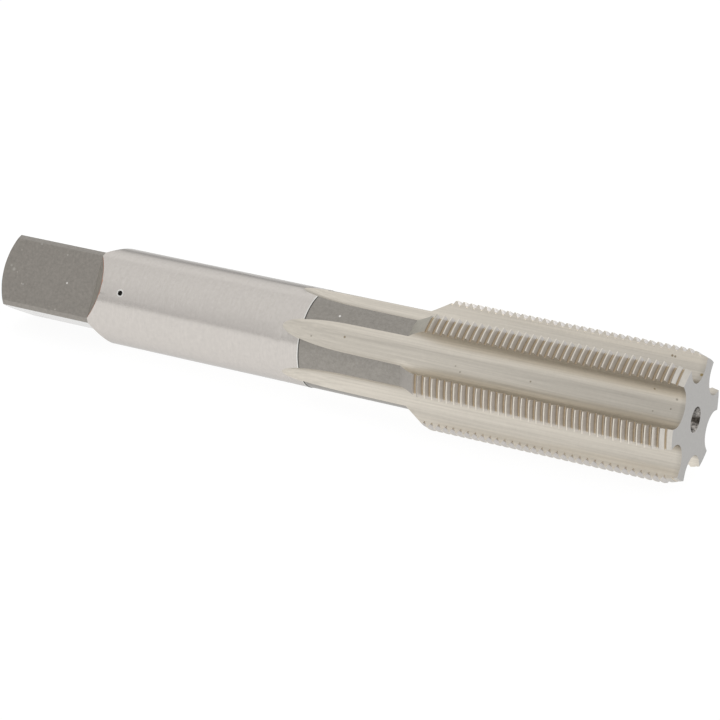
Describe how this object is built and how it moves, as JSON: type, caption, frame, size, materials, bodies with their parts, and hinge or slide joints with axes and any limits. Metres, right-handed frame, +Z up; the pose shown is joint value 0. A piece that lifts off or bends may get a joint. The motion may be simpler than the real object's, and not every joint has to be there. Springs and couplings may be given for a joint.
{
  "type": "thread tap",
  "caption": "Straight-fluted hand tap with a fine right-hand thread, a plain neck and shank, and a square end for a tap wrench.",
  "frame": {"origin": "on the surface that the tap lies on, under the middle of its length and width", "axes": "+X toward the cutting end, 1.4 degrees off the tap's own axis, which rises toward that end; +Z up"},
  "size_m": [0.1026, 0.0174, 0.0172],
  "materials": {
    "ground_steel": "bright ground high-speed steel, with duller flats on the square and the neck"
  },
  "bodies": {
    "root": {"thread_tap": "ground_steel"}
  },
  "joints": []
}
